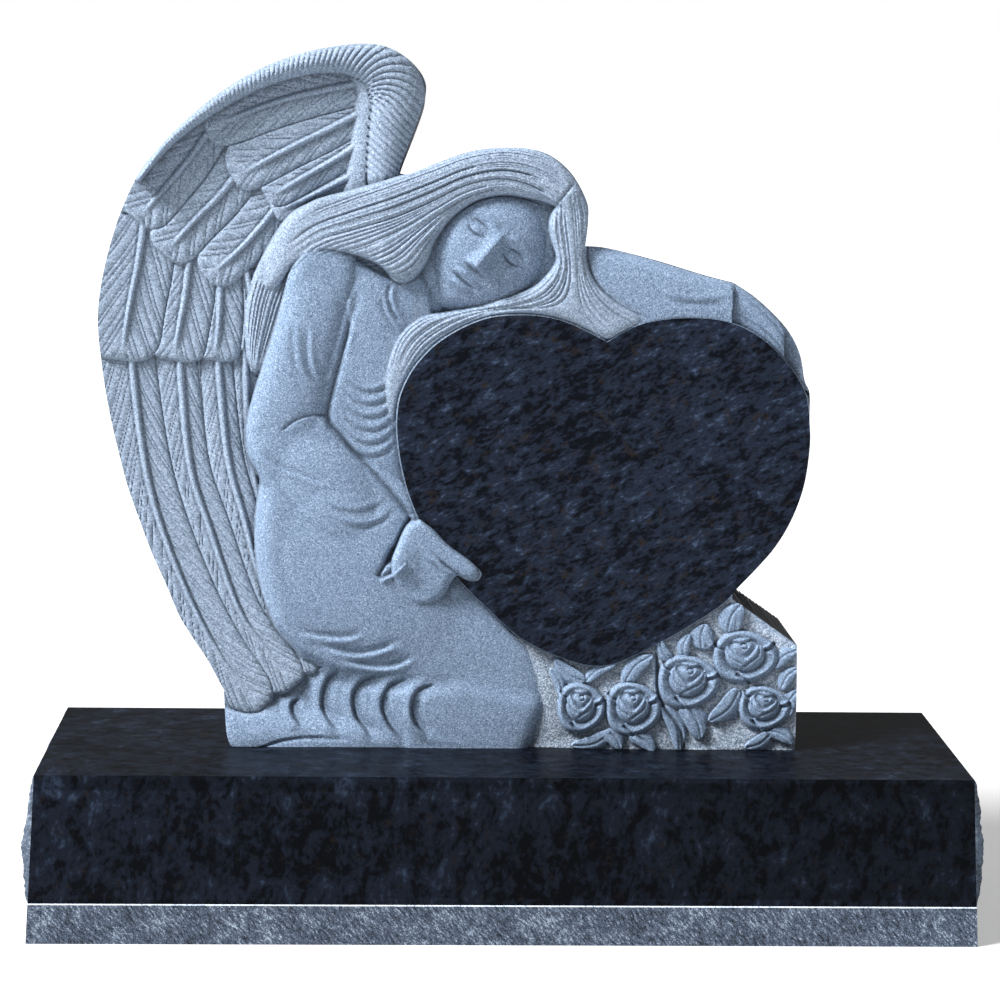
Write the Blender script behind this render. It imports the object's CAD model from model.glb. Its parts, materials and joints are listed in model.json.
import json
import math
import random

import bmesh
import bpy
import numpy as np
from mathutils import Matrix, Vector, noise


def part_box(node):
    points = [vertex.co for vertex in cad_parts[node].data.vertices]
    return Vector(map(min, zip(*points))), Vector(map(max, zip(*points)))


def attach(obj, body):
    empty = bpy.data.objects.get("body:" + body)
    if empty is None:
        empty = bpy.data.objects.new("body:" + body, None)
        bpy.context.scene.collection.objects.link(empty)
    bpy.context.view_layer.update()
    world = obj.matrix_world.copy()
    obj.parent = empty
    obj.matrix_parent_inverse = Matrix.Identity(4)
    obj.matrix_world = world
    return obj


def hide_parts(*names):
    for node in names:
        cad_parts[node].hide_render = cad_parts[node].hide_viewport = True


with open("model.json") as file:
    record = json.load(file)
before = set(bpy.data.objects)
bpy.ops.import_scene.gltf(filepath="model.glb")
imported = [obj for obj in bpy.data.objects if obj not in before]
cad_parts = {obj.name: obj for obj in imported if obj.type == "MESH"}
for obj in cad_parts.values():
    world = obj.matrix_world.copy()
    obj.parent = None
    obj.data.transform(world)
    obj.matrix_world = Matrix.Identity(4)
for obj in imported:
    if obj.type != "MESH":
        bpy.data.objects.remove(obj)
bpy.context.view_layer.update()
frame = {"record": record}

print("frame loaded")

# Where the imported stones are: the tablet's box and heart plane, and the base's top edge
tabletLow, tabletHigh = [np.array(corner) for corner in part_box("angel_heart_tablet")]
baseHigh = np.array(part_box("base")[1])
mounts = {mount["name"]: mount for mount in frame["record"]["mounts"]}
heartY = mounts["heart_face"]["pos_m"][1]
topEdge = np.array([v.co for v in bpy.data.objects["base"].data.vertices if v.co.z > baseHigh[2] - 1e-4])
topLow, topHigh = topEdge.min(axis=0), topEdge.max(axis=0)

# The front is drawn on a sheet of 1000 units, as the camera sees it
view = {
    "standFromBase": (-0.1367, -3.3369, 1.0815),  # from the base's top front edge, and above the ground
    "turn": 0.03693,
    "tilt": -0.15774,
    "roll": 0.01478,
    "reach": 2837.3,
    "sheetMiddle": 500.0,
}


def viewAxes():
    turn, tilt, roll = view["turn"], view["tilt"], view["roll"]
    forward = np.array([math.sin(turn) * math.cos(tilt), math.cos(turn) * math.cos(tilt), math.sin(tilt)])
    level = np.array([math.cos(turn), -math.sin(turn), 0.0])
    upright = np.cross(level, forward)
    right = math.cos(roll) * level + math.sin(roll) * upright
    up = math.cos(roll) * upright - math.sin(roll) * level
    return forward, right, up


forward, right, up = viewAxes()
standX, standY, standZ = view["standFromBase"]
standpoint = np.array([(topLow[0] + topHigh[0]) / 2 + standX, topLow[1] + standY, standZ])


def added(name, data):  # a new object in the scene
    holder = bpy.data.objects.new(name, data)
    bpy.context.collection.objects.link(holder)
    return holder


def makeCamera():
    data = bpy.data.cameras.new("camera")
    data.sensor_width = 36
    data.lens = data.sensor_width * view["reach"] / (2 * view["sheetMiddle"])
    camera = added("camera", data)
    columns = np.stack([right, up, -forward], axis=1)
    camera.matrix_world = Matrix.Translation(Vector(standpoint)) @ Matrix(columns.tolist()).to_4x4()
    bpy.context.scene.camera = camera


makeCamera()
print("camera placed")


# Shader sketching: a wire is an output socket that can be added, subtracted and multiplied
class Wire:
    def __init__(self, look, socket):
        self.look = look
        self.socket = socket

    def math(self, operation, a, b=None):
        values = {0: a} if b is None else {0: a, 1: b}
        return self.look.node("ShaderNodeMath", {"operation": operation}, values)

    def __add__(self, other):
        return self.math("ADD", self, other)

    def __radd__(self, other):
        return self.math("ADD", other, self)

    def __sub__(self, other):
        return self.math("SUBTRACT", self, other)

    def __rsub__(self, other):
        return self.math("SUBTRACT", other, self)

    def __mul__(self, other):
        return self.math("MULTIPLY", self, other)

    def __rmul__(self, other):
        return self.math("MULTIPLY", other, self)


class Look:
    def __init__(self, name, roughness, shine=0.5):
        self.material = bpy.data.materials.new(name)
        self.material.use_nodes = True
        self.tree = self.material.node_tree
        self.shader = self.tree.nodes["Principled BSDF"]
        self.shader.inputs["Roughness"].default_value = roughness
        self.shader.inputs["Specular IOR Level"].default_value = shine

    def node(self, kind, settings=None, values=None, out=0):
        node = self.tree.nodes.new(kind)
        for name, value in (settings or {}).items():
            if name == "stops":
                bands = node.color_ramp.elements
                while len(bands) < len(value):
                    bands.new(0.5)
                for element, (place, colour) in zip(bands, value):
                    element.position = place
                    element.color = (*colour, 1) if isinstance(colour, tuple) else (colour, colour, colour, 1)
            else:
                setattr(node, name, value)
        for name, value in (values or {}).items():
            if isinstance(value, Wire):
                self.tree.links.new(value.socket, node.inputs[name])
            else:
                node.inputs[name].default_value = value
        return Wire(self, node.outputs[out])

    def place(self):
        return self.node("ShaderNodeTexCoord", out="Object")

    def turned(self, place, angle):  # about the y axis
        return self.node("ShaderNodeMapping", {}, {"Vector": place, "Rotation": (0, angle, 0)})

    def stretched(self, place, scale):
        return self.node("ShaderNodeMapping", {}, {"Vector": place, "Scale": scale})

    def clouds(self, place, scale, detail=3.0, rough=0.55, warp=0.0):
        values = {"Vector": place, "Scale": scale, "Detail": detail, "Roughness": rough, "Distortion": warp}
        return self.node("ShaderNodeTexNoise", {}, values, out="Fac")

    def grains(self, place, scale):
        values = {"Vector": place, "Scale": scale}
        cell = self.node("ShaderNodeTexVoronoi", {"feature": "F1"}, values, out="Color")
        return self.node("ShaderNodeSeparateColor", {}, {"Color": cell}, out="Red")

    def stepped(self, fac, stops):
        return self.node("ShaderNodeValToRGB", {"stops": stops}, {"Fac": fac}, out="Color")

    def level(self, fac, stops):
        colour = self.stepped(fac, stops)
        return self.node("ShaderNodeSeparateColor", {}, {"Color": colour}, out="Red")

    def mixed(self, fac, a, b, blend="MIX"):
        settings = {"data_type": "RGBA", "blend_type": blend}
        values = {0: fac, 6: a if isinstance(a, Wire) else (*a, 1), 7: b if isinstance(b, Wire) else (*b, 1)}
        return self.node("ShaderNodeMix", settings, values, out=2)

    def dimmed(self, colour, value):  # colour times a number
        channels = {"Red": value, "Green": value, "Blue": value}
        grey = self.node("ShaderNodeCombineColor", {}, channels, out="Color")
        return self.mixed(1.0, colour, grey, "MULTIPLY")

    def stored(self, name):
        return self.node("ShaderNodeAttribute", {"attribute_name": name}, out="Fac")

    def feed(self, socket, wire):
        self.tree.links.new(wire.socket, self.shader.inputs[socket])

    def bump(self, height, distance):
        values = {"Height": height, "Distance": distance, "Strength": 1.0}
        self.feed("Normal", self.node("ShaderNodeBump", {}, values, out="Normal"))


carvedFinish = {
    "light": (0.39, 0.48, 0.63),
    "middle": (0.150, 0.214, 0.313),
    "dark": (0.058, 0.086, 0.132),
    "chiselLight": (0.47, 0.55, 0.65),
    "chiselDark": (0.16, 0.20, 0.26),
    "grainSize": 0.0013,
    "creaseShade": 0.50,
    "hollowShade": 0.20,
    "roughness": 0.82,
}


def carvedLook():
    finish = carvedFinish
    look = Look("carved granite", finish["roughness"], 0.25)
    place = look.place()
    cell = look.grains(place, 1 / finish["grainSize"])
    fine = look.clouds(place, 0.9 / finish["grainSize"], 2.0, 0.75)
    speck = 0.45 * cell + 0.9 * fine - 0.2
    smooth = look.stepped(speck, [(0.18, finish["dark"]), (0.42, finish["middle"]), (0.56, finish["middle"]),
                                  (0.86, finish["light"])])
    rough = look.stepped(speck, [(0.28, finish["chiselDark"]), (0.74, finish["chiselLight"])])
    chiselled = look.stored("chiselled")
    colour = look.mixed(chiselled * 0.42, smooth, rough)
    broad = look.clouds(place, 9.0, 4.0)
    hammered = look.stored("hammered")
    coarse = look.level(look.clouds(place, 460, 2.0, 0.65), [(0.44, 0.0), (0.58, 1.0)])
    colour = look.mixed(hammered * (0.10 + 0.7 * coarse), colour, (0.66, 0.76, 0.89))
    crease = look.stored("crease") * (1 - 0.4 * chiselled)
    hollow = look.stored("hollow") * (1 - 0.6 * hammered)
    tone = (0.88 + 0.24 * broad) * (1 - finish["creaseShade"] * crease) * (1 - finish["hollowShade"] * hollow)
    look.feed("Base Color", look.dimmed(colour, tone))
    look.bump(fine + 1.2 * hammered * coarse, 0.0005)
    return look.material


polishedFinish = {
    "black": (0.0018, 0.0024, 0.0042),
    "navy": (0.008, 0.0115, 0.0205),
    "blue": (0.040, 0.060, 0.105),
    "brown": (0.014, 0.011, 0.010),
    "roughness": 0.2,
    "shine": 0.035,
}


def polishedLook(name, angle, stretch, bright=1.0, shine=None, roughness=None):
    finish = polishedFinish
    look = Look(name, roughness or finish["roughness"], shine or finish["shine"])
    place = look.place()
    turned = look.turned(place, angle)
    grainWay = look.stretched(turned, stretch)
    streaks = look.clouds(grainWay, 1.0, 7.0, 0.66, 0.5)
    patches = look.clouds(turned, 9.0, 3.0, 0.6)
    crystals = look.clouds(grainWay, 3.6, 3.0, 0.6)
    field = streaks * 0.62 + patches * 0.22 + crystals * 0.30 - 0.07
    colour = look.stepped(field, [(0.44, finish["black"]), (0.52, finish["navy"]), (0.56, finish["navy"]),
                                  (0.70, finish["blue"])])
    rust = look.level(look.clouds(place, 60, 4.0, 0.65), [(0.58, 0.0), (0.72, 0.8)])
    colour = look.mixed(rust, colour, finish["brown"])
    tone = bright * (0.55 + 0.9 * look.clouds(place, 620, 2.0, 0.7))
    look.feed("Base Color", look.dimmed(colour, tone))
    return look.material


sawnFinish = {
    "light": (0.33, 0.40, 0.50),
    "middle": (0.048, 0.066, 0.100),
    "dark": (0.008, 0.011, 0.018),
    "grainSize": 0.0016,
    "roughness": 0.72,
}


ledgeFinish = {"light": (0.80, 0.84, 0.90), "middle": (0.50, 0.56, 0.64), "dark": (0.20, 0.24, 0.30),
               "grainSize": 0.0016, "roughness": 0.7}


def sawnLook(name, finish):
    look = Look(name, finish["roughness"], 0.25)
    place = look.place()
    fine = look.clouds(place, 0.8 / finish["grainSize"], 2.0, 0.7)
    slanted = look.stretched(look.turned(place, -0.9), (120, 120, 420))
    streaks = look.clouds(slanted, 1.0, 4.0, 0.7)
    broad = look.clouds(place, 30.0, 4.0, 0.65)
    speck = 0.7 * fine + 0.9 * streaks + 0.35 * broad - 0.475
    colour = look.stepped(speck, [(0.36, finish["dark"]), (0.46, finish["middle"]), (0.54, finish["middle"]),
                                  (0.74, finish["light"])])
    look.feed("Base Color", colour)
    look.bump(fine, 0.0005)
    return look.material


rockFinish = {
    "dark": (0.016, 0.022, 0.034),
    "middle": (0.07, 0.095, 0.135),
    "light": (0.30, 0.36, 0.44),
    "roughness": 0.75,
}


def rockLook():
    finish = rockFinish
    look = Look("pitched rock", finish["roughness"], 0.3)
    place = look.place()
    fine = look.clouds(place, 520, 2.0, 0.75)
    broad = look.clouds(place, 30.0, 4.0, 0.65)
    lumps = look.clouds(place, 150, 3.0, 0.7)
    speck = 0.5 * fine + 0.5 * broad + 0.6 * lumps - 0.3
    colour = look.stepped(speck, [(0.34, finish["dark"]), (0.48, finish["middle"]), (0.56, finish["middle"]),
                                  (0.74, finish["light"])])
    look.feed("Base Color", colour)
    look.bump(lumps + 0.4 * fine, 0.003)
    return look.material


# Drawing helpers: lines, rings and a field of heights over the sheet
def curve(points, closed=False, steps=6):  # smooth line; a point given twice is a corner
    p = [np.array(q, float) for q in points]
    if closed:
        quads = [(p[i - 1], p[i], p[(i + 1) % len(p)], p[(i + 2) % len(p)]) for i in range(len(p))]
    else:
        p = [p[0]] + p + [p[-1]]
        quads = [p[i:i + 4] for i in range(len(p) - 3)]
    t = np.linspace(0, 1, steps, endpoint=False)[:, None]
    runs = []
    for a, b, c, d in quads:
        if np.allclose(b, c):
            continue
        bend = (2 * a - 5 * b + 4 * c - d) * t ** 2 + (3 * b - a - 3 * c + d) * t ** 3
        runs.append(0.5 * (2 * b + (c - a) * t + bend))
    if not closed:
        runs.append(p[-1][None, :])
    return np.vstack(runs)


def along(x, y, line):  # distance to a line, run along it, side of it, its length
    best = np.full(x.shape, 1e9)
    run = np.zeros(x.shape)
    side = np.zeros(x.shape)
    done = 0.0
    for (ax, ay), (bx, by) in zip(line[:-1], line[1:]):
        dx, dy = bx - ax, by - ay
        long = math.hypot(dx, dy) + 1e-9
        t = np.clip(((x - ax) * dx + (y - ay) * dy) / long ** 2, 0, 1)
        ox = x - ax - t * dx
        oy = y - ay - t * dy
        far = ox * ox + oy * oy
        near = far < best
        best = np.where(near, far, best)
        run = np.where(near, done + t * long, run)
        side = np.where(near, dx * oy - dy * ox, side)
        done += long
    return np.sqrt(best), run, np.sign(side), done


def inset(x, y, ring):  # distance inside a closed ring, negative outside
    odd = np.zeros(x.shape, bool)
    for (ax, ay), (bx, by) in zip(ring, np.roll(ring, -1, axis=0)):
        if ay != by:
            odd ^= ((ay > y) != (by > y)) & (x < (bx - ax) * (y - ay) / (by - ay) + ax)
    far = along(x, y, np.vstack([ring, ring[:1]]))[0]
    return np.where(odd, far, -far)


def nearest(x, y, ring):  # closest point of a closed ring
    best = np.full(x.shape, 1e9)
    nearX, nearY = x.copy(), y.copy()
    for (ax, ay), (bx, by) in zip(ring, np.roll(ring, -1, axis=0)):
        dx, dy = bx - ax, by - ay
        t = np.clip(((x - ax) * dx + (y - ay) * dy) / (dx * dx + dy * dy + 1e-12), 0, 1)
        qx, qy = ax + t * dx, ay + t * dy
        far = (x - qx) ** 2 + (y - qy) ** 2
        near = far < best
        best = np.where(near, far, best)
        nearX = np.where(near, qx, nearX)
        nearY = np.where(near, qy, nearY)
    return nearX, nearY, np.sqrt(best)


def blur(a, reach):
    n = max(1, int(round(reach)))
    for axis in (0, 1) * 3:
        pad = [(0, 0), (0, 0)]
        pad[axis] = (n + 1, n)
        total = np.cumsum(np.pad(a, pad, mode="edge"), axis=axis)
        size = total.shape[axis]
        ahead = np.take(total, range(2 * n + 1, size), axis=axis)
        behind = np.take(total, range(0, size - 2 * n - 1), axis=axis)
        a = (ahead - behind) / (2 * n + 1)
    return a


def between(a, b, t):
    return a + (b - a) * t


def ramp(t):
    return np.clip(t, 0, 1)


sheet = {
    "box": (92, 38, 820, 758),
    "step": 1.0,
    "ground": -60,
    "heartPlane": -9,
    "roseGround": -15,
    "roseTop": -5,
}


class Relief:  # a field of heights in millimetres, laid form by form
    def __init__(self):
        left, top, far, low = sheet["box"]
        step = self.step = sheet["step"]
        self.corner = np.array([left, top])
        across, down = np.arange(left, far + step, step, float), np.arange(top, low + step, step, float)
        self.x, self.y = np.meshgrid(across, down)
        self.h = np.full(self.x.shape, float(sheet["ground"]))
        self.coarse = np.ones(self.x.shape)  # chiselled, against rubbed smooth

    def window(self, line, margin):
        line = np.asarray(line)
        low = np.floor((line.min(axis=0) - margin - self.corner) / self.step).astype(int).clip(0)
        high = np.ceil((line.max(axis=0) + margin - self.corner) / self.step).astype(int).clip(1) + 1
        return np.s_[low[1]:high[1], low[0]:high[0]]

    def lay(self, ring, level):
        w = self.window(ring, 3)
        share = ramp(inset(self.x[w], self.y[w], ring) / self.step + 1)
        height = level(self.x[w], self.y[w]) if callable(level) else level
        self.h[w] += (height - self.h[w]) * share

    def cover(self, w, form, share):  # the higher of the form and what is there
        self.h[w] += (np.maximum(form, self.h[w]) - self.h[w]) * share

    def swell(self, ring, low, high, reach, coarse=0.0):  # rounds up from low at its edge to high inside
        w = self.window(ring, 2 * reach)
        x, y = self.x[w], self.y[w]
        solid = ramp(inset(x, y, ring) / self.step + 0.5)
        t = ramp(2 * blur(solid, 0.5 * reach / self.step) - 1)
        bottom = low(x, y) if callable(low) else low
        top = high(x, y) if callable(high) else high
        form = bottom + (top - bottom) * np.sqrt(t * (2 - t))
        self.coarse[w] += (coarse - self.coarse[w]) * solid * (form > self.h[w])
        self.cover(w, form, solid)

    def raiseBy(self, ring, amount, reach):
        w = self.window(ring, reach)
        self.h[w] += amount * ramp(inset(self.x[w], self.y[w], ring) / reach)

    def dome(self, ring, amount, reach):  # a broad soft rise over all of the ring
        w = self.window(ring, 2 * reach)
        solid = ramp(inset(self.x[w], self.y[w], ring) / self.step + 0.5)
        t = ramp(2 * blur(solid, 0.5 * reach / self.step) - 1)
        self.h[w] += amount * t * (2 - t) * solid

    def near(self, line, width, taper):
        w = self.window(line, width + 1)
        far, run, side, total = along(self.x[w], self.y[w], line)
        t = run / total
        return w, far / width, side, ramp(t / taper[0]) * ramp((1 - t) / taper[1])

    def groove(self, line, width, deep, taper=(0.15, 0.3)):
        w, far, side, ends = self.near(line, width, taper)
        self.h[w] -= deep * ramp(1 - far) * np.sqrt(ends)

    def hollow(self, line, width, deep, taper=(0.3, 0.3)):  # a groove with a soft round section
        w, far, side, ends = self.near(line, width, taper)
        self.h[w] -= deep * ends * (1 - ramp(far) ** 2) ** 2

    def fold(self, line, width, deep, taper=(0.2, 0.3)):  # a soft step from one side of the line to the other
        w, far, side, ends = self.near(line, width, taper)
        reach = ramp(far)
        self.h[w] -= deep * ends * side * reach * (1 - reach) ** 2 * 6.75

    def tube(self, spine, level, high):
        smooth = curve(spine)
        line, radii = smooth[:, :2], smooth[:, 2]
        w = self.window(line, radii.max() + 1)
        far, run, side, total = along(self.x[w], self.y[w], line)
        stops = np.concatenate([[0], np.cumsum(np.hypot(*np.diff(line, axis=0).T))])
        r = np.interp(run, stops, radii)
        form = level + high * np.sqrt(ramp(1 - (far / r) ** 2))
        self.h[w] = np.where(far < r, np.maximum(self.h[w], form), self.h[w])
        return w, far, run, side, r


featherCut = {"edgeDrop": 2.6, "quill": 3.8, "quillWidth": 3.5, "barbDepth": 1.55, "barbWidth": 1.35}


def feather(relief, spine, outer, inner, level, lift, spacing, lean):
    line = curve(spine, steps=8)
    t = np.linspace(0, 1, len(line))
    way = np.gradient(line, axis=0)
    way /= np.linalg.norm(way, axis=1)[:, None]
    across = np.stack([-way[:, 1], way[:, 0]], axis=1)
    outer = between(outer[0], outer[1], ramp(t) ** 3) if isinstance(outer, tuple) else outer
    full = 0.8 + 0.2 * np.sin(ramp(t / 0.5) * math.pi / 2)
    full *= np.sqrt(ramp(1 - ((t - 0.8) / 0.215).clip(0) ** 2))
    one = line + across * (outer * full)[:, None]
    two = line - across * (inner * full)[:, None]
    ring = np.vstack([one, two[::-1]])
    w = relief.window(ring, 3)
    x, y = relief.x[w], relief.y[w]
    depth = inset(x, y, ring)
    far, run, side, total = along(x, y, line)
    t = run / total
    cut = featherCut
    surface = level + lift * t ** 1.5
    form = surface - cut["edgeDrop"] * ((1 - ramp(depth / 9)) ** 2 + 0.7 * (1 - ramp(depth / 2.2)))
    rib = cut["quillWidth"] * (1 - 0.45 * t)
    form += cut["quill"] * np.sqrt(ramp(1 - (far / rib) ** 2)) * ramp((0.93 - t) / 0.2)
    form -= 1.0 * ramp(1 - np.abs(far - rib - 1) / 1.8) * ramp((0.9 - t) / 0.2)
    bend = far / math.tan(lean) * (1 - 0.22 * far / (np.max(outer) + inner))
    phase = (run - bend) / spacing + 0.3 * side
    cell = np.floor(phase)
    tooth = np.abs(phase - cell - 0.5 - 0.28 * np.sin(cell * 2.4 + side)) * spacing
    form -= cut["barbDepth"] * ramp(1 - tooth / cut["barbWidth"]) * ramp((far - 2.5) / 2)
    over = (relief.h[w] <= np.maximum(surface, level + 4) + 1) | (form > relief.h[w])
    share = ramp(depth / relief.step + 0.5) * over
    relief.coarse[w] = np.maximum(relief.coarse[w], share)
    relief.h[w] += (form - relief.h[w]) * share


def strands(relief, guides, count, width, deep, seed, taper=(0.1, 0.15), trim=0.0):
    rule = random.Random(seed)
    lines = [curve(g, steps=5) for g in guides]
    n = min(len(q) for q in lines)
    lines = [q[np.linspace(0, len(q) - 1, n).astype(int)] for q in lines]
    for k in range(count):
        at = (k + 0.5 + 0.35 * (rule.random() - 0.5)) / count * (len(lines) - 1)
        i = min(int(at), len(lines) - 2)
        line = between(lines[i], lines[i + 1], at - i)
        first = int(rule.random() * trim * n)
        last = n - int(rule.random() * trim * n)
        wide = width * (0.8 + 0.4 * rule.random())
        cut = deep * (0.6 + 0.8 * rule.random())
        relief.groove(line[first:last], wide, cut, taper)


# Each row of feathers: spine from root to tip, then the half widths on both sides
wingRows = {
    "low": {"level": -57, "lift": 28, "spacing": 15, "lean": 0.34, "feathers": [
        (((246, 335), (250, 440), (262, 510), (272, 570), (292, 620), (316, 654)), 20, 15),
        (((217, 335), (228, 452), (245, 518), (262, 580), (290, 632), (321, 669)), 22, 18),
        (((179, 335), (190, 459), (211, 529), (240, 610), (270, 652), (298, 685)), 31, 22),
        (((130, 335), (144, 452), (162, 526), (196, 610), (234, 675), (266, 708)), (45, 17), 29)]},
    "third": {"level": -53, "lift": 4, "spacing": 15, "lean": 0.42, "feathers": [
        (((247, 270), (253, 300), (253, 330), (246, 352)), 16, 16),
        (((221, 262), (221, 300), (219, 335), (215, 361)), 24, 25),
        (((191, 252), (187, 290), (180, 330), (174, 361)), 33, 31),
        (((146, 216), (140, 260), (130, 310), (123, 361)), 50, 37)]},
    "second": {"level": -50, "lift": 4, "spacing": 14, "lean": 0.55, "feathers": [
        (((300, 178), (268, 220), (239, 252), (208, 279)), 28, 21),
        (((246, 163), (222, 195), (195, 222), (165, 256)), 30, 26),
        (((215, 125), (190, 160), (165, 190), (138, 222)), 34, 26)]},
    "first": {"level": -47, "lift": 4, "spacing": 16, "lean": 0.42, "feathers": [
        (((366, 170), (338, 184), (306, 200), (274, 213)), 26, 16),
        (((366, 140), (340, 158), (305, 178), (268, 200)), 30, 17),
        (((367, 111), (330, 130), (285, 152), (234, 180)), 36, 22),
        (((370, 82), (302, 96), (262, 108), (206, 130)), 46, 27)]},
}
wingField = curve([(430, 40), (430, 230), (262, 300), (255, 355), (90, 355), (90, 200), (200, 60),
                   (330, 38)], True)
rollCut = {"spacing": (2.9, 0.19), "lean": 0.09, "depth": 2.8}  # spacing grows with the roll's radius
wingEnds = curve([(90, 340), (262, 340), (264, 500), (284, 610), (322, 668), (300, 700), (262, 706),
                  (200, 700), (90, 500)], True)


def carveWing(relief):
    relief.swell(wingEnds, -60, -58, 3, coarse=1.0)
    relief.lay(wingField, -53)
    for row in wingRows.values():
        for spine, outer, inner in row["feathers"]:
            feather(relief, spine, outer, inner, row["level"], row["lift"], row["spacing"], row["lean"])
    innerBand = [(350, 222, 16), (364, 180, 19), (371, 130, 19), (373, 95, 18), (360, 78, 10)]
    relief.tube(innerBand, -54, 15)
    leadingRoll = [(386, 178, 20), (392, 135, 24), (398, 96, 28), (383, 71, 26), (352, 61, 16),
                   (320, 62, 13), (290, 69, 11.5), (260, 80, 10.5), (230, 96, 9.5), (205, 113, 8),
                   (185, 129, 6.5), (165, 148, 5), (140, 180, 3)]
    w, far, run, side, radius = relief.tube(leadingRoll, -48, 22)
    runs = np.linspace(0, run.max(), 400)
    order = np.argsort(run, axis=None)
    widths = np.interp(runs, run.flat[order], radius.flat[order])
    least, growth = rollCut["spacing"]
    turns = np.cumsum((runs[1] - runs[0]) / (least + growth * widths))
    phase = np.interp(run, runs, turns) + rollCut["lean"] * side * far
    tooth = np.abs(phase % 1 - 0.5) * 2
    cut = rollCut["depth"] * ramp(1 - tooth * 1.9) * np.clip(radius / 14, 0.3, 1)
    relief.h[w] -= np.where(far < radius, cut, 0)


heartSide = curve([(398, 400), (403, 469), (421, 522), (460, 580), (523, 639), (580, 664)])
heartRing = curve([
    (608, 343), (608, 343), (587, 332), (564, 322), (541, 317), (515, 316), (489, 319), (463, 329),
    (440, 343), (423, 359), (410, 377), (401, 398), (398, 420), (399, 443), (403, 469), (410, 495),
    (421, 522), (437, 550), (460, 580), (487, 607), (523, 639), (569, 660), (600, 666), (627, 659),
    (676, 634), (719, 607), (735, 592), (756, 570), (776, 547), (793, 518), (805, 484), (810.5, 445),
    (810, 420), (805, 392), (789, 366), (763, 340), (729, 323), (687, 319), (646, 324), (625, 333)], True)


def besideHeart(x, y):
    return ramp(1 - along(x, y, heartSide)[0] / 60)


def carveLegs(relief):  # skirt, knee and lower leg as one mass with a valley between thigh and calf
    kneeling = curve([(262, 470), (254, 530), (257, 580), (266, 612), (262, 645), (244, 676), (225, 692),
                      (210, 700), (212, 780), (212, 780), (526, 780), (526, 764), (540, 748), (550, 722),
                      (554, 698), (549, 680), (530, 652), (503, 624), (487, 607), (460, 580), (437, 550),
                      (410, 490), (360, 450), (300, 430), (268, 440)], True)
    valleyX, valleyY = (255, 276, 303, 345, 410, 465, 520), (584, 626, 657, 676, 683, 687, 700)

    def high(x, y):
        thigh = between(-17, -19, ramp((x - 300) / 200))
        calf = between(-38, -15, ramp((x - 300) / 110))
        foot = ramp((y - 690) / 56)
        calf = np.maximum(calf, between(-38, -17, foot * foot * (3 - 2 * foot)))  # comes forward to the base
        t = ramp(0.5 + (y - np.interp(x, valleyX, valleyY)) / 20)
        return thigh + (calf - thigh) * t * t * (3 - 2 * t)

    relief.swell(kneeling, lambda x, y: between(-52, -20, besideHeart(x, y)), high, 30)
    thigh = curve([(262, 470), (254, 530), (257, 580), (268, 612), (286, 640), (305, 657), (340, 672),
                   (400, 684), (460, 690), (500, 720), (530, 760), (540, 748), (554, 698), (530, 652),
                   (487, 607), (437, 550), (410, 490), (360, 450), (300, 430), (268, 440)], True)
    relief.dome(thigh, 15, 150)
    relief.hollow(curve([(330, 668), (374, 680), (410, 684), (440, 686), (470, 687)]), 13, 3.5, (0.3, 0.3))
    calfFolds = [[(301, 699), (294, 703), (293, 710), (297, 719), (303, 727)],
                 [(341, 670), (328, 681), (323, 704), (331, 722), (342, 733)],
                 [(377, 676), (361, 684), (354, 697), (357, 716), (367, 730), (374, 741)],
                 [(408, 679), (390, 687), (383, 704), (388, 721), (399, 736), (408, 744)],
                 [(436, 685), (419, 691), (413, 708), (417, 724), (431, 738)]]
    for points in calfFolds:
        line = curve(points)
        relief.fold(line[::-1], 14, 2.4, (0.15, 0.2))
        relief.groove(line, 2.4, 3.0, (0.15, 0.2))
    relief.groove(curve([(255, 754), (270, 746), (285, 741), (312, 738), (345, 740)]), 3, 3.0)
    kneeFolds = [([(365, 634), (347, 639), (325, 638), (300, 632)], 1.6),
                 ([(402, 643), (378, 652), (352, 655), (322, 647)], 1.9),
                 ([(418, 656), (398, 666), (372, 668), (338, 659)], 1.8)]
    for points, deep in kneeFolds:
        relief.fold(curve(points), 9, 1.3 * deep)


def carveBody(relief):  # the mass under sleeves and hair
    body = curve([(286, 300), (300, 256), (345, 250), (392, 276), (425, 272), (440, 330), (440, 500),
                  (470, 560), (400, 520), (320, 480), (280, 460), (266, 430), (272, 370)], True)
    relief.swell(body, -52, -24, 12)
    shoulder = curve([(585, 247), (608, 250), (656, 262), (705, 277), (734, 284), (758, 300), (786, 328),
                      (797, 350), (800, 375), (785, 374), (760, 352), (729, 336), (687, 332), (646, 337),
                      (618, 352), (596, 340), (586, 300)], True)
    relief.swell(shoulder, -40, -22, 12)


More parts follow.
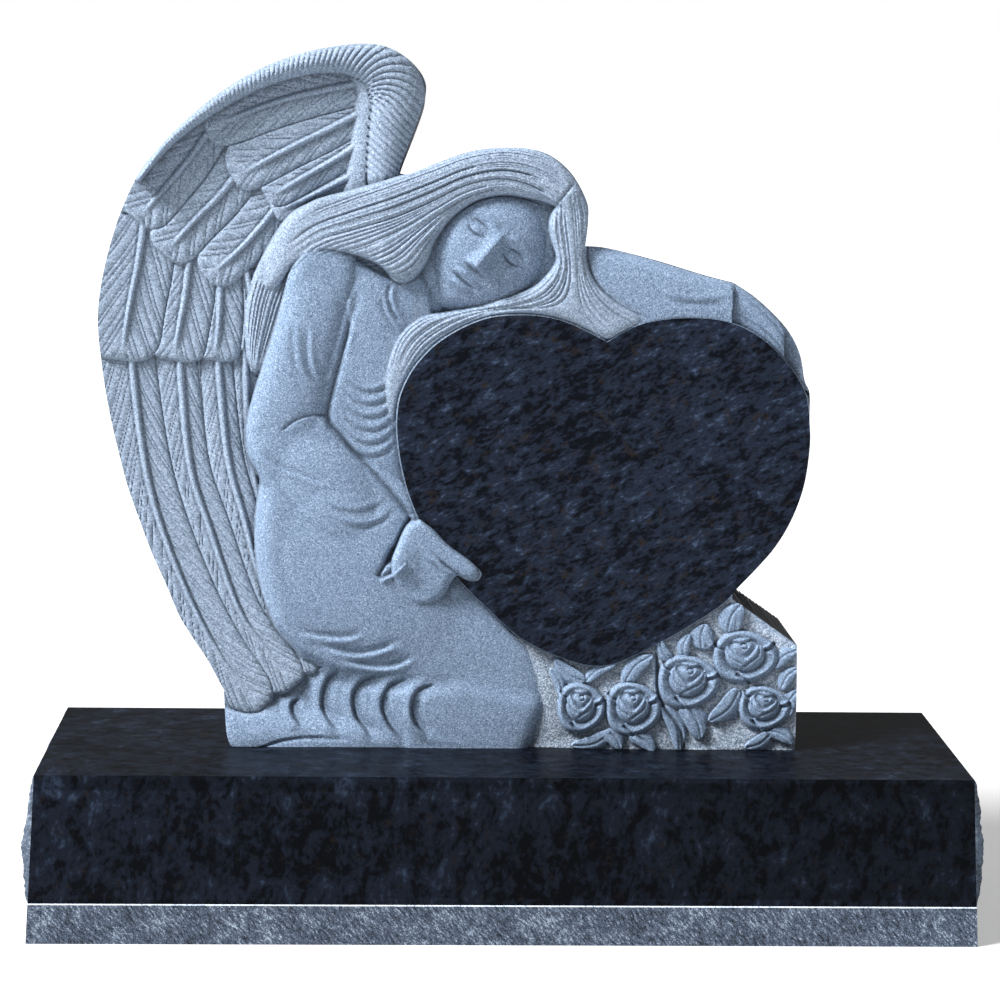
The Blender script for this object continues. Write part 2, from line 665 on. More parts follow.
def carveTorso(relief):
    torso = curve([(352, 238), (388, 250), (402, 290), (420, 325), (418, 352), (410, 385), (412, 420),
                   (418, 460), (425, 505), (430, 535), (400, 520), (350, 460), (310, 430), (315, 370),
                   (335, 310)], True)
    relief.swell(torso, -32, lambda x, y: between(-30, -24, ramp((y - 255) / 120)), 30)
    relief.dome(torso, 7, 70)
    upperArm = curve([(292, 256), (318, 228), (352, 234), (364, 270), (359, 292), (346, 345), (334, 390),
                      (330, 425), (322, 470), (290, 490), (260, 478), (247, 450), (248, 420), (262, 370),
                      (276, 325), (286, 286)], True)
    relief.swell(upperArm, -44, -19, 24)
    relief.dome(upperArm, 15, 84)
    forearm = curve([(258, 470), (252, 445), (262, 420), (300, 405), (330, 414), (347, 440), (385, 482),
                     (413, 518), (413, 518), (396, 548), (377, 580), (377, 580), (345, 566), (300, 528),
                     (272, 500)], True)
    relief.swell(forearm, -26, -17, 30)
    relief.dome(forearm, 14, 90)
    armCrease = [(359, 292), (346, 345), (333, 392), (329, 420), (345, 440), (385, 484), (413, 519)]
    relief.groove(curve(armCrease), 5, 5, (0.2, 0.02))
    sleeveFolds = [([(340, 521), (360, 526), (380, 521), (397, 506)], 1.3), ([(318, 500), (350, 511),
                   (375, 506), (392, 494)], 1.0), ([(330, 487), (310, 480), (290, 472), (262, 458),
                   (247, 446)], 1.2), ([(297, 318), (296, 345), (300, 370), (310, 386)], 1.2), ([(311, 325),
                   (310, 350), (313, 370), (322, 383), (334, 380)], 1.4), ([(341, 300), (350, 312),
                   (350, 335), (341, 362)], 1.0)]
    for points, deep in sleeveFolds:
        relief.fold(curve(points), 8, deep)
    relief.groove(curve([(283, 432), (289, 426), (300, 419), (316, 415), (327, 416)]), 2.6, 2.4, (0.1, 0.2))
    for k in range(6):
        y = 386 + 13 * k
        relief.fold(curve([(346, y - 14), (356, y), (370, y + 5), (386, y), (398, y - 13)]), 7, 1.3)
    collar = [([(394, 284), (391, 296), (395, 311), (403, 321)], 1.6),
              ([(384, 298), (387, 312), (394, 325), (403, 334)], 1.2)]
    for points, deep in collar:
        relief.fold(curve(points), 6, deep, (0.1, 0.15))
    sleeveEnd = curve([(566, 236), (600, 245), (656, 261), (705, 276), (734, 284), (758, 299), (786, 327),
                       (797, 345), (800, 362), (786, 366), (763, 352), (737, 336), (700, 332), (660, 337),
                       (620, 352), (600, 350), (570, 310)], True)

    def high(x, y):
        cuff = np.interp(y, (284, 345), (734.5, 731))
        return np.where(x < cuff, between(-18, -9, ramp((x - 585) / 90)), -15)

    relief.swell(sleeveEnd, -32, high, 20)
    relief.dome(sleeveEnd, 5, 60)
    relief.groove(curve([(748, 300), (766, 315), (780, 330), (790, 348)]), 2.0, 2.4, (0.5, 0.1))
    relief.groove(curve([(742, 318), (760, 328), (776, 342), (788, 360)]), 2.0, 2.4, (0.5, 0.1))
    relief.fold(curve([(650, 292), (680, 300), (708, 302), (730, 298)]), 9, 1.2, (0.4, 0.2))
    stoneBehindHand = curve([(786, 326), (786, 326), (800, 354), (805, 381), (811, 396), (811, 396),
                             (790, 370), (785, 350)], True)
    relief.lay(stoneBehindHand, -30)


leftHandRing = curve([(396, 548), (412, 519), (432, 528), (450, 546), (468, 559), (480, 570), (482, 576),
                      (478, 581), (468, 581), (458, 576), (452, 584), (444, 600), (420, 608), (400, 596),
                      (390, 572)], True)
handBack = curve([(400, 548), (420, 535), (440, 548), (462, 564), (480, 576)])


def carveHand(relief, low):
    relief.swell(leftHandRing, low, lambda x, y: -1 - 9 * ramp((along(x, y, handBack)[0] - 14) / 30), 10)


def carveSleeveEnd(relief):
    carveHand(relief, -26)
    relief.groove(curve([(412, 518), (403, 533), (396, 547), (389, 559), (378, 577)]), 3.5, 6, (0.02, 0.05))
    relief.hollow(curve([(398, 545), (392, 556), (386, 566)]), 7, 7, (0.2, 0.3))
    relief.fold(curve([(407, 562), (395, 573), (380, 581)]), 6, 2.4, (0.1, 0.1))


def carveLeftHand(relief):  # over the edge of the heart
    carveHand(relief, lambda x, y: between(-26, -9, ramp(inset(x, y, heartRing) / 4 + 1)))
    relief.groove(curve([(440, 560), (454, 571), (470, 583)]), 2.4, 4, (0.3, 0.02))
    relief.fold(curve([(424, 556), (438, 566), (450, 578)]), 6, 1.4, (0.3, 0.3))


faceMiddle, faceHalfLength, faceHalfWidth, faceTilt = (490, 252), 70, 60, math.radians(50)


def carveFace(relief):  # generic and calm; up and out are shares of the face's half length and half width
    cx, cy = faceMiddle
    w = relief.window([faceMiddle], 1.3 * faceHalfLength)
    x, y = relief.x[w] - cx, relief.y[w] - cy
    up = (x * math.cos(faceTilt) - y * math.sin(faceTilt)) / faceHalfLength
    out = (x * math.sin(faceTilt) + y * math.cos(faceTilt)) / faceHalfWidth
    jaw = 1 - 0.26 * ramp(-up) ** 1.6 - 0.05 * ramp(up) ** 2
    rho = np.sqrt(up * up + (out / jaw) ** 2)
    form = -38 + 32 * np.sqrt(ramp(1 - rho ** 2.3))

    def mound(atUp, atOut, tall, wide):
        left = np.exp(-((up - atUp) / tall) ** 2 - ((out - atOut) / wide) ** 2)
        return left + np.exp(-((up - atUp) / tall) ** 2 - ((out + atOut) / wide) ** 2) * (atOut != 0)

    def line(atUp, atOut, half, sag, thick):
        total = 0
        for s in (1, -1) if atOut else (1,):
            q = (s * out - atOut) / half
            off = up - atUp - sag * (1 - q ** 2)
            total = total + np.exp(-(off / thick) ** 2) * ramp(1 - np.abs(q) ** 3)
        return total

    t = ramp((0.30 - up) / 0.58)
    bridge = np.exp(-(out / (0.075 + 0.075 * t)) ** 2)
    form += -6.0 * mound(0.17, 0.38, 0.13, 0.2)  # eye sockets and lids
    form += 5.4 * mound(0.135, 0.38, 0.075, 0.14)
    form += 2.6 * line(0.31, 0.36, 0.30, 0.06, 0.045)
    form += -3.2 * line(0.115, 0.38, 0.19, -0.055, 0.022) - 1.6 * line(0.20, 0.38, 0.19, 0.045, 0.018)
    form += (3.5 + 12.5 * t) * bridge * ramp((up + 0.345) / 0.05) * ramp((0.42 - up) / 0.2)  # nose
    form += 3.0 * mound(-0.275, 0.13, 0.05, 0.055) - 1.5 * mound(-0.345, 0.07, 0.025, 0.04)
    form += 3.4 * line(-0.49, 0, 0.25, 0.03, 0.035) + 3.8 * line(-0.61, 0, 0.21, -0.03, 0.045)  # lips
    form += -3.6 * line(-0.545, 0, 0.27, -0.015, 0.022) - 0.8 * mound(-0.40, 0, 0.045, 0.035)
    form += -1.0 * mound(-0.72, 0, 0.04, 0.16) + 2.2 * mound(-0.86, 0, 0.1, 0.2)  # chin
    form += 1.5 * mound(-0.2, 0.52, 0.28, 0.22)  # cheeks
    share = ramp((1 - rho) * faceHalfWidth / relief.step + 0.5)
    relief.coarse[w] *= 1 - share
    relief.cover(w, form, share)


def carveHead(relief):
    outerLock = [(322, 190), (292, 215), (264, 255), (250, 290), (246, 320), (246, 350), (252, 372)]
    innerLock = [(352, 225), (325, 245), (298, 270), (284, 300), (274, 330), (266, 355), (260, 378)]
    underArm = curve(innerLock) + (9, 3)
    relief.swell(np.vstack([curve(outerLock), underArm[::-1]]), -52, -41, 16, coarse=1.0)
    strands(relief, [outerLock, innerLock], 9, 1.4, 2.0, 5, (0.02, 0.1), 0.08)
    neck = curve([(388, 280), (432, 268), (450, 310), (420, 322), (398, 318)], True)
    relief.swell(neck, -34, -27, 20)
    head = curve([(404, 178), (438, 165), (473, 153), (513, 149), (546, 154), (571, 173), (588, 201),
                  (592, 222), (587, 262), (560, 300), (500, 312), (440, 312), (425, 290)], True)
    relief.swell(head, -34, -22, 30)
    carveFace(relief)
    backHair = curve([(404, 176), (438, 164), (473, 152), (513, 148), (546, 153), (571, 172), (589, 200),
                      (592, 222), (578, 228), (562, 212), (545, 203), (525, 199), (504, 196), (477, 202),
                      (453, 219), (436, 242), (427, 265), (412, 281), (396, 282), (380, 266), (350, 254),
                      (320, 250), (296, 264), (276, 292), (262, 300), (256, 275), (285, 222), (315, 202),
                      (350, 192), (385, 182)], True)

    def hairEdge(x, y):
        return between(-46, -18, ramp((x - 270) / 50))

    def hairTop(x, y):
        return between(-40, -4, ramp((x - 265) / 120) ** 0.6)

    relief.swell(backHair, hairEdge, hairTop, 20, coarse=1.0)
    frontHair = curve([(556, 206), (549, 222), (551, 240), (557, 260), (547, 276), (533, 288), (504, 299),
                       (475, 308), (447, 313), (425, 317), (405, 331), (392, 352), (385, 385), (392, 440),
                       (399, 443), (398, 420), (401, 398), (410, 377), (423, 359), (440, 343), (463, 329),
                       (489, 319), (515, 316), (541, 317), (564, 322), (587, 332), (608, 345), (608, 345),
                       (625, 334), (646, 325), (662, 320), (640, 311), (618, 300), (598, 284), (588, 262),
                       (588, 247), (592, 222), (588, 201), (576, 184)], True)
    relief.swell(frontHair, -22, lambda x, y: between(-15, -6, ramp((x - 400) / 150)), 11, coarse=1.0)
    crown = [(574, 183), (552, 161), (513, 151), (473, 155), (430, 170), (385, 186), (345, 200), (310, 215),
             (280, 240)]
    middle = [(560, 205), (532, 188), (500, 181), (465, 188), (430, 205), (395, 220), (355, 232),
              (320, 243), (292, 262)]
    hairline = [(552, 210), (528, 201), (504, 197), (476, 204), (452, 221), (434, 245), (420, 270),
                (400, 279), (382, 266)]
    fallLeft = [(556, 208), (551, 226), (553, 246), (556, 263), (546, 279), (528, 292), (504, 301),
                (476, 308), (447, 314), (420, 322), (400, 342), (391, 375)]
    fallMiddle = [(566, 198), (567, 220), (570, 244), (572, 266), (572, 286), (566, 302), (548, 309),
                  (520, 310), (488, 315), (455, 329), (425, 350), (401, 385)]
    parted = [(571, 196), (573, 220), (575, 244), (577, 266), (578, 285), (580, 302), (586, 318), (596, 331),
              (606, 341)]
    fallRight = [(582, 190), (590, 210), (590, 232), (589, 252), (593, 272), (606, 291), (624, 305),
                 (645, 315), (660, 320)]
    strands(relief, [crown, middle], 13, 1.3, 2.0, 1, (0.03, 0.15), 0.12)
    strands(relief, [middle, hairline], 13, 1.3, 2.0, 2, (0.03, 0.15), 0.12)
    strands(relief, [crown, middle, hairline], 7, 1.8, 2.4, 9, (0.02, 0.5), 0.4)
    strands(relief, [fallLeft, fallMiddle], 7, 1.3, 2.1, 3, (0.02, 0.15), trim=0.06)
    strands(relief, [parted, fallRight], 7, 1.3, 2.1, 4, (0.02, 0.15), trim=0.06)
    relief.groove(curve([(556, 207), (566, 195), (575, 184)]), 2.4, 3.0, (0.05, 0.3))


def ellipse(cx, cy, rx, ry, first=0.0, last=2 * math.pi, count=40):
    angle = np.linspace(first, last, count, endpoint=False)
    return np.stack([cx + rx * np.cos(angle), cy + ry * np.sin(angle)], axis=1)


def carveRose(relief, cx, cy, rx, ry, turn):
    top = sheet["roseTop"]
    w = relief.window(ellipse(cx, cy, rx, ry), 3)
    u, v = (relief.x[w] - cx) / rx, (relief.y[w] - cy) / ry
    away = np.hypot(u, v) * (1 - 0.05 * np.cos(3 * np.arctan2(v, u) + turn))
    bowl = top - 2 - 5 * ramp((0.84 - away) / 0.26) - 5 * ramp((away - 0.82) / 0.18) ** 2
    share = ramp((1 - away) * rx / relief.step + 0.5)
    relief.h[w] += (np.maximum(bowl, relief.h[w] - 4) - relief.h[w]) * share

    def petal(points, closed=False):
        c, s = math.cos(turn), math.sin(turn)
        return curve([(cx + rx * (p * c - q * s), cy + ry * (p * s + q * c)) for p, q in points], closed)

    for points in ([(-0.30, 0.58), (-0.12, 0.78), (0.10, 0.98)],
                   [(0.60, -0.22), (0.80, -0.30), (0.94, -0.48)],
                   [(-0.60, -0.30), (-0.80, -0.42), (-0.88, -0.62)]):
        relief.fold(petal(points), 4, 3.0, (0.02, 0.02))
        relief.groove(petal(points), 1.8, 2.2, (0.05, 0.05))
    dome = np.hypot(u / 0.62, (v + 0.12) / 0.68)
    form = top - 7 + 8 * np.sqrt(ramp(1 - dome ** 2.4))
    relief.cover(w, form, ramp((1 - dome) * 0.62 * rx / relief.step + 0.5))
    throat = [(-0.34, -0.64), (-0.47, -0.40), (-0.22, -0.06), (0.03, 0.12), (0.27, -0.10), (0.49, -0.46),
              (0.30, -0.68), (0.0, -0.60)]
    relief.raiseBy(petal(throat, True), -3.0, 1.5)
    bud = [(0.66 * p + 0.01, 0.66 * q - 0.12) for p, q in throat]
    relief.raiseBy(petal(bud, True), 2.8, 3.0)
    heart = [(-0.10, -0.42), (0.03, -0.50), (0.14, -0.40), (0.06, -0.28), (-0.02, -0.34)]
    relief.groove(petal(heart), 1.3, 2.4, (0.05, 0.1))
    relief.groove(petal([(0.49, -0.44), (0.42, -0.02), (0.10, 0.26), (-0.14, 0.46)]), 1.6, 2.6, (0.02, 0.2))
    relief.groove(petal([(-0.48, -0.34), (-0.40, 0.02), (-0.10, 0.26)]), 1.5, 2.0, (0.05, 0.05))


def carveLeaf(relief, root, tip, width):
    root, tip = np.array(root, float), np.array(tip, float)
    way = tip - root
    across = np.array([way[1], -way[0]])
    line = curve([root, (root + tip) / 2 + 0.12 * across, tip], steps=8)
    t = np.linspace(0, 1, len(line))
    side = across / np.linalg.norm(across)
    full = width * np.sin(math.pi * t ** 0.85).clip(0) ** 0.8
    ring = np.vstack([line + side * full[:, None], (line - side * full[:, None])[::-1]])
    w = relief.window(ring, 2)
    x, y = relief.x[w], relief.y[w]
    depth = inset(x, y, ring)
    far, run, sign, total = along(x, y, line)
    form = bedLevel(x, y) + 6 - 2.5 * ramp(far / width) ** 1.4 - 1.8 * ramp(1 - far / 1.6)
    form += 1.8 * sign * ramp(far / width)
    relief.cover(w, form, ramp(depth / relief.step + 0.5))


def bedLevel(x, y):  # deeper beside the knee
    return sheet["roseGround"] - 9 * ramp((610 - x) / 80)


def carveRoses(relief):
    leaves = [((586, 682), (555, 659), 9), ((586, 682), (617, 664), 7), ((624, 686), (654, 655), 10),
              ((672, 662), (660, 640), 7), ((684, 658), (690, 634), 7), ((703, 650), (706, 624), 13),
              ((728, 634), (742, 604), 13), ((774, 668), (799, 650), 8), ((781, 690), (799, 668), 8),
              ((740, 690), (709, 722), 11), ((786, 716), (799, 690), 9), ((772, 733), (745, 748), 8),
              ((770, 731), (794, 744), 8), ((683, 704), (702, 740), 12), ((630, 734), (656, 752), 9),
              ((664, 706), (680, 752), 9), ((612, 733), (572, 746), 9), ((606, 730), (622, 750), 9),
              ((552, 668), (562, 700), 6)]
    for root, tip, width in leaves:
        carveLeaf(relief, root, tip, width)
    roses = [(581, 708, 24, 25, 0.1), (633, 709, 28, 27, 0.0), (764, 708, 26, 22, 0.2),
             (688, 682, 31, 27, 0.15), (745, 657, 33, 26, -0.1)]
    for rose in roses:
        carveRose(relief, *rose)
    stem = [(657, 652), (658, 672), (659, 692), (666, 710), (680, 728), (684, 750)]
    relief.groove(curve(stem), 2.6, 5, (0.1, 0.1))


roseBed = curve([(484, 600), (484, 600), (600, 640), (700, 600), (733, 590), (733, 599), (733, 599),
                 (798, 645.4), (798, 645.4), (800, 700), (797, 764), (797, 764), (505, 764), (505, 764),
                 (500, 700)], True)
footLeft, footRight = (233, 749), (795, 752)
bedNotch, bedEnd, sleeveTip, hairNotch = (733, 599), (797.4, 645.4), (733.6, 283.4), (586, 247)
stoneRing = curve([
    footLeft, footLeft, (228, 735), (226, 712), (225, 690), (225, 690), (208, 659), (194, 638),
    (180, 615), (167, 584), (153, 553), (141, 521), (129, 487), (119, 449), (110, 409), (103, 365),
    (99, 321), (103, 282), (113, 240), (126, 203), (144, 168), (173, 135), (200, 110), (225, 91),
    (257, 72), (294, 57), (330, 48.5), (365, 45), (390, 49), (411, 62), (425, 80), (426, 98),
    (415, 131), (401, 169), (404, 175), (413, 174), (438, 164), (473, 152), (513, 148.6), (546, 154),
    (571, 173), (587, 201), (589, 220), hairNotch, hairNotch, (608, 249), (656, 261), (705, 276),
    sleeveTip, sleeveTip, (758, 300), (786, 328), (800, 354), (805, 381), (810, 394),
    (810, 420), (810.5, 445), (805, 484), (793, 518), (776, 547), (756, 570), (735, 592), bedNotch,
    bedNotch, bedEnd, bedEnd, (797, 700), footRight, footRight], True, 5)


def carveStone():
    relief = Relief()
    relief.lay(roseBed, bedLevel)
    carveLegs(relief)
    carveWing(relief)
    carveBody(relief)
    carveTorso(relief)
    carveSleeveEnd(relief)
    carveHead(relief)
    carveRoses(relief)
    relief.lay(heartRing, sheet["heartPlane"])
    carveLeftHand(relief)
    return relief


tablet = {
    "triangles": 185000,
    "backDraft": 0.02,
    "hollow": {"reach": 8, "depth": 5.0},
    "crease": {"reach": 2, "depth": 1.5},
    "sharpAngle": 55,
    "polishedFrom": (810, 385),  # the right edge is polished from beside the heart down to the foot
}
frontSlot, heartSlot, sideSlot, backSlot = range(4)


def frontGrid(relief):  # the relief's grid inside the stone's edge, snapped to the edges of stone and heart
    x, y, h = relief.x.copy(), relief.y.copy(), relief.h
    midX = (x[:-1, :-1] + x[1:, 1:]) / 2
    midY = (y[:-1, :-1] + y[1:, 1:]) / 2
    used = inset(midX, midY, stoneRing) > 0
    onHeart = used & (inset(midX, midY, heartRing) > 0) & (inset(midX, midY, leftHandRing) < 0)

    def around(cells):
        count = np.zeros(x.shape, int)
        for down, across in ((0, 0), (0, 1), (1, 0), (1, 1)):
            count[down:down + cells.shape[0], across:across + cells.shape[1]] += cells
        return count

    cells, heartCells = around(used), around(onHeart)
    rim = (heartCells > 0) & (heartCells < cells)
    toHeart = nearest(x[rim], y[rim], heartRing)
    toHand = nearest(x[rim], y[rim], leftHandRing)
    closer = toHand[2] < toHeart[2]
    x[rim] = np.where(closer, toHand[0], toHeart[0])
    y[rim] = np.where(closer, toHand[1], toHeart[1])
    h = np.where(heartCells > 0, float(sheet["heartPlane"]), h)
    edge = (cells > 0) & (cells < 4)
    x[edge], y[edge], far = nearest(x[edge], y[edge], stoneRing)
    for cx, cy in (footLeft, footRight, bedNotch, bedEnd, sleeveTip, hairNotch):
        away = np.where(edge, (x - cx) ** 2 + (y - cy) ** 2, 1e9)
        at = np.unravel_index(away.argmin(), away.shape)
        x[at], y[at] = cx, cy
    kept = cells > 0
    number = np.full(x.shape, -1)
    number[kept] = np.arange(kept.sum())
    rows, columns = np.nonzero(used)
    quad = [(rows, columns), (rows + 1, columns), (rows + 1, columns + 1), (rows, columns + 1)]

    def area(i, j, k):
        (xi, yi), (xj, yj), (xk, yk) = [(x[quad[n]], y[quad[n]]) for n in (i, j, k)]
        return (xk - xi) * (yj - yi) - (xj - xi) * (yk - yi)

    first = np.minimum(area(0, 1, 2), area(0, 2, 3)) >= np.minimum(area(0, 1, 3), area(1, 2, 3))
    ids = [number[q] for q in quad]

    def triangles(i, j, k):
        return np.stack([ids[i], ids[j], ids[k]], 1)

    one = np.where(first[:, None], triangles(0, 1, 2), triangles(0, 1, 3))
    two = np.where(first[:, None], triangles(0, 2, 3), triangles(1, 2, 3))
    slots = np.where(onHeart[rows, columns], heartSlot, frontSlot)
    points = np.stack([x[kept], -y[kept], h[kept]], axis=1)
    return points, np.vstack([one, two]), np.concatenate([slots, slots]), rim[kept]


def thinnedFront(points, faces, slots, rim):
    mesh = bpy.data.meshes.new("front")
    mesh.vertices.add(len(points))
    mesh.vertices.foreach_set("co", points.astype(np.float32).ravel())
    mesh.loops.add(3 * len(faces))
    mesh.loops.foreach_set("vertex_index", faces.astype(np.int32).ravel())
    mesh.polygons.add(len(faces))
    mesh.polygons.foreach_set("loop_start", np.arange(0, 3 * len(faces), 3, dtype=np.int32))
    mesh.polygons.foreach_set("material_index", slots.astype(np.int32))
    mesh.update(calc_edges=True)
    holder = added("front", mesh)
    group = holder.vertex_groups.new(name="thinned")
    group.add(np.nonzero(~rim)[0].tolist(), 1.0, "REPLACE")
    modifier = holder.modifiers.new("fewer faces", "DECIMATE")
    modifier.ratio = tablet["triangles"] / len(faces)
    modifier.vertex_group = "thinned"
    shape = bmesh.new()
    shape.from_object(holder, bpy.context.evaluated_depsgraph_get())
    bpy.data.objects.remove(holder)
    bpy.data.meshes.remove(mesh)
    return shape


def onStone(px, py, height):  # where sight lines meet the plane at each height
    u = (px - view["sheetMiddle"]) / view["reach"]
    v = (view["sheetMiddle"] - py) / view["reach"]
    ray = [forward[i] + u * right[i] + v * up[i] for i in range(3)]
    y = heartY + (sheet["heartPlane"] - height) / 1000
    share = (y - standpoint[1]) / ray[1]
    return standpoint[0] + share * ray[0], y, standpoint[2] + share * ray[2]


def fitted(values, low, high):  # stretched so that its ends are low and high
    return low + (values - values.min()) * (high - low) / (values.max() - values.min())


def shadeFields(relief):  # what the looks read at each point of the front
    fields = {}
    for name in ("hollow", "crease"):  # how far a point lies below what is round it
        size = tablet[name]
        fields[name] = ramp((blur(relief.h, size["reach"]) - relief.h) / size["depth"] - 0.1)
    inBed = inset(relief.x, relief.y, roseBed)
    fields["chiselled"] = blur(relief.coarse, 2) * (1 - ramp(inBed))
    bare = np.abs(relief.h - bedLevel(relief.x, relief.y)) < 0.5
    fields["hammered"] = bare * ramp(inBed / 3)
    return fields


def placeFront(shape, relief, fields):  # from the sheet on to the stone
    shape.verts.ensure_lookup_table()
    drawn = np.array([v.co for v in shape.verts])
    px, py, height = drawn[:, 0], -drawn[:, 1], drawn[:, 2]
    column = np.clip(np.round((px - relief.corner[0]) / relief.step).astype(int), 0, relief.h.shape[1] - 1)
    row = np.clip(np.round((py - relief.corner[1]) / relief.step).astype(int), 0, relief.h.shape[0] - 1)
    x, y, z = onStone(px, py, height)
    slope = (footRight[1] - footLeft[1]) / (footRight[0] - footLeft[0])
    above = footLeft[1] + (px - footLeft[0]) * slope - py  # sheet units above the line of the foot
    z = np.maximum(z - baseHigh[2], 0.0004 * above)
    z[above < 0.3] = 0.0
    x = fitted(x, tabletLow[0], tabletHigh[0])
    z = fitted(z, tabletLow[2], tabletHigh[2])
    for vert, place in zip(shape.verts, zip(x, y, z)):
        vert.co = place
    for name, field in fields.items():
        layer = shape.verts.layers.float.new(name)
        for vert, value in zip(shape.verts, field[row, column]):
            vert[layer] = value


def closeStone(shape):  # the edge runs straight back to a plain sawn back
    rim = [e for e in shape.edges if e.is_boundary]
    pushed = bmesh.ops.extrude_edge_only(shape, edges=rim)["geom"]
    backEdge = [e for e in pushed if isinstance(e, bmesh.types.BMEdge) and e.is_boundary]
    for vert in {v for e in backEdge for v in e.verts}:
        vert.co.y = tabletHigh[1]
        vert.co.z = tabletLow[2] + (vert.co.z - tabletLow[2]) * (1 - tablet["backDraft"])
    back = bmesh.ops.contextual_create(shape, geom=backEdge)["faces"]
    bmesh.ops.recalc_face_normals(shape, faces=shape.faces[:])
    zTop = onStone(*tablet["polishedFrom"], sheet["heartPlane"])[2]
    for face in pushed:
        if isinstance(face, bmesh.types.BMFace):
            middle = face.calc_center_median()
            polished = middle.x > tabletHigh[0] / 2 and middle.z < zTop and face.normal.x > 0.05
            face.material_index = sideSlot if polished else backSlot
    for face in back:
        face.material_index = backSlot


def smoothForms(shape):  # smooth but for sharp edges and where one finish meets another
    for face in shape.faces:
        face.smooth = True
    for edge in shape.edges:
        linked = edge.link_faces
        if len(linked) == 2:
            turned = linked[0].normal.angle(linked[1].normal, 0.0) > math.radians(tablet["sharpAngle"])
            edge.smooth = not (turned or linked[0].material_index != linked[1].material_index)


def makeTablet():
    relief = carveStone()
    print("front carved")
    shape = thinnedFront(*frontGrid(relief))
    placeFront(shape, relief, shadeFields(relief))
    closeStone(shape)
    smoothForms(shape)
    mesh = bpy.data.meshes.new("angelHeartStone")
    shape.to_mesh(mesh)
    shape.free()
    piece = added("angelHeartStone", mesh)
    streakWay = math.radians(28)
    mesh.materials.append(carvedLook())
    mesh.materials.append(polishedLook("polished heart", streakWay, (40, 40, 84), bright=1.4))
    mesh.materials.append(polishedLook("polished side", streakWay, (34, 34, 88), shine=0.03, roughness=0.5))
    mesh.materials.append(sawnLook("sawn back", sawnFinish))
    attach(piece, "root")
    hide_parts("angel_heart_tablet")
    print("upright stone:", sum(len(p.vertices) - 2 for p in mesh.polygons), "triangles")


base = {
    "marginHeight": 0.049,
    "marginProud": 0.003,
    "flare": 0.012,
    "bulge": 0.012,
    "rockRows": 46,
    "rockPitch": 0.0045,
    "facet": 0.030,
    "roughness": 0.0016,
}


polishedSlot, sawnSlot, rockSlot, topSlot, ledgeSlot = range(5)


def rockPush(place, climb):  # how far the pitched face stands out here
    belly = base["bulge"] * math.sin(math.pi * climb) ** 0.6
    far = noise.voronoi(place / base["facet"], distance_metric="DISTANCE", exponent=2.5)[0]
    chips = 1 - min(far[1] - far[0], 0.6) / 0.6
    swell = 0.5 + 0.5 * noise.fractal(place * 22, 1.0, 2.0, 4)
    push = belly * (0.40 + 0.45 * swell + 0.25 * chips * swell)
    grit = noise.fractal(place * 190, 1.0, 2.0, 3) * min(1.0, climb * 8, (1 - climb) * 8)
    return push + base["roughness"] * grit


def baseRow(shape, z):  # one level ring of the base, its front as a single edge
    tall, margin = baseHigh[2], base["marginHeight"]
    spread = base["flare"] * (1 - z / tall)
    climb = ramp((z - margin) / (tall - margin))
    left, far = topLow[0] - spread, topHigh[0] + spread
    front, back = topLow[1] - (base["marginProud"] if z <= margin else 0.0), topHigh[1]
    depthCount = int((topHigh[1] - topLow[1]) / base["rockPitch"])
    lengthCount = int((topHigh[0] - topLow[0]) / base["rockPitch"])
    sides = [((far, front), (far, back), (1, 0), depthCount),
             ((far, back), (left, back), (0, 1), lengthCount),
             ((left, back), (left, front), (-1, 0), depthCount)]
    row = [shape.verts.new((left, front, z)), shape.verts.new((far, front, z))]
    for start, end, (outX, outY), count in sides:
        for k in range(1, count + 1):
            px, py = between(start[0], end[0], k / count), between(start[1], end[1], k / count)
            push = rockPush(Vector((px, py, z)), climb) if 0 < climb < 1 else 0.0
            if k == count:
                push *= 0.4  # corners stand out less
            row.append(shape.verts.new((px + outX * push, py + outY * push, z)))
    shape.verts.remove(row.pop())
    return row


def makeBase():
    tall, margin = baseHigh[2], base["marginHeight"]
    ledge = margin + base["marginProud"] / 4
    levels = [0.0, margin, ledge]
    levels += [between(ledge, tall, (k + 1) / base["rockRows"]) for k in range(base["rockRows"])]
    shape = bmesh.new()
    rows = [baseRow(shape, z) for z in levels]
    count = len(rows[0])
    for low, high in zip(rows[:-1], rows[1:]):
        for k in range(count):
            n = (k + 1) % count
            face = shape.faces.new((low[k], low[n], high[n], high[k]))
            middleZ = (low[k].co.z + high[k].co.z) / 2
            if middleZ < ledge:
                face.material_index = sawnSlot if middleZ < margin else ledgeSlot
            else:
                face.material_index = polishedSlot if k == 0 else rockSlot
                face.smooth = k > 0
    shape.faces.new(rows[0][::-1]).material_index = sawnSlot
    shape.faces.new(rows[-1]).material_index = topSlot
    bmesh.ops.recalc_face_normals(shape, faces=shape.faces[:])
    mesh = bpy.data.meshes.new("pitchedBase")
    shape.to_mesh(mesh)
    shape.free()
    mesh.set_sharp_from_angle(angle=math.radians(50))
    piece = added("pitchedBase", mesh)
    mesh.materials.append(polishedLook("polished front", math.radians(80), (26, 26, 40), bright=0.62))
    mesh.materials.append(sawnLook("sawn granite", sawnFinish))
    mesh.materials.append(rockLook())
    mesh.materials.append(polishedLook("polished top", math.radians(10), (40, 60, 60), bright=0.55,
                                       shine=0.04, roughness=0.35))
    mesh.materials.append(sawnLook("sawn ledge", ledgeFinish))
    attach(piece, "root")
    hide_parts("base")
    print("base:", sum(len(p.vertices) - 2 for p in mesh.polygons), "triangles")


makeTablet()
makeBase()


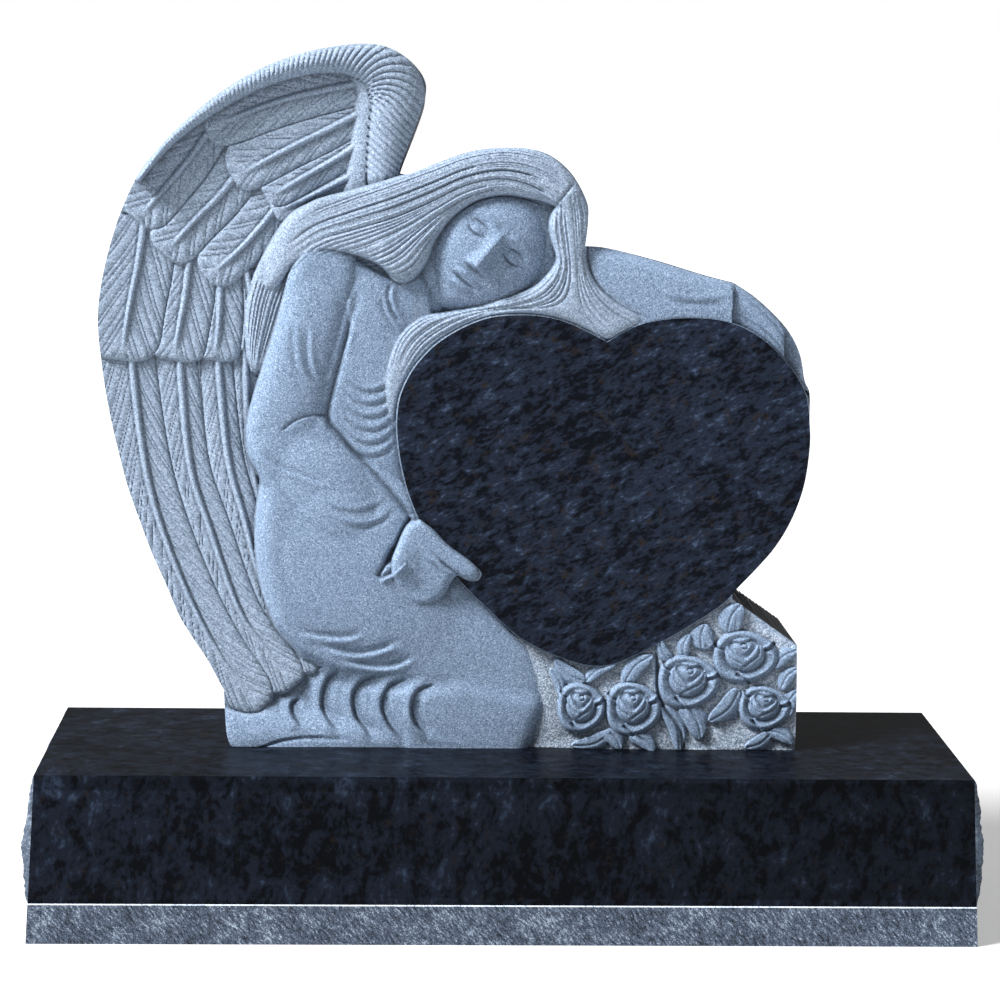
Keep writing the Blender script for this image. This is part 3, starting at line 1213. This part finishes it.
studio = {
    "floorSize": 60.0,
    "floorColour": (0.4, 0.4, 0.4),
    "floorGlow": 0.36,
    "skyTop": 0.40,
    "skyDark": 0.14,
    "horizon": 1.0,
    "sun": {"from": (-0.80, -0.33, 0.82), "strength": 9.6, "softness": 16},
}


def makeFloor():
    half = studio["floorSize"] / 2
    mesh = bpy.data.meshes.new("floor")
    corners = [(-half, -half, 0), (half, -half, 0), (half, half, 0), (-half, half, 0)]
    mesh.from_pydata(corners, [], [(0, 1, 2, 3)])
    floor = added("floor", mesh)
    look = Look("pale floor", 0.9, 0.2)
    look.shader.inputs["Base Color"].default_value = (*studio["floorColour"], 1)
    look.shader.inputs["Emission Color"].default_value = (1, 1, 1, 1)
    look.shader.inputs["Emission Strength"].default_value = studio["floorGlow"]
    mesh.materials.append(look.material)


def makeSun():
    data = bpy.data.lights.new("sun", "SUN")
    data.energy = studio["sun"]["strength"]
    data.angle = math.radians(studio["sun"]["softness"])
    sun = added("sun", data)
    sun.rotation_euler = Vector(studio["sun"]["from"]).to_track_quat("Z", "Y").to_euler()


def makeSky():  # bright at the horizon, dim above it
    world = bpy.data.worlds.new("studio")
    bpy.context.scene.world = world
    world.use_nodes = True
    nodes, links = world.node_tree.nodes, world.node_tree.links
    place = nodes.new("ShaderNodeTexCoord")
    split = nodes.new("ShaderNodeSeparateXYZ")
    bands = nodes.new("ShaderNodeValToRGB")
    stops = [(0.0, studio["horizon"]), (0.06, studio["horizon"]), (0.10, studio["skyDark"]),
             (0.42, studio["skyDark"]), (0.6, studio["skyTop"])]
    elements = bands.color_ramp.elements
    while len(elements) < len(stops):
        elements.new(0.5)
    for element, (at, level) in zip(elements, stops):
        element.position = at
        element.color = (level, level, level, 1)
    links.new(place.outputs["Generated"], split.inputs[0])
    links.new(split.outputs["Z"], bands.inputs["Fac"])
    links.new(bands.outputs["Color"], nodes["Background"].inputs["Color"])


makeFloor()
makeSun()
makeSky()
bpy.context.scene.view_settings.view_transform = "Standard"
print("studio lit")
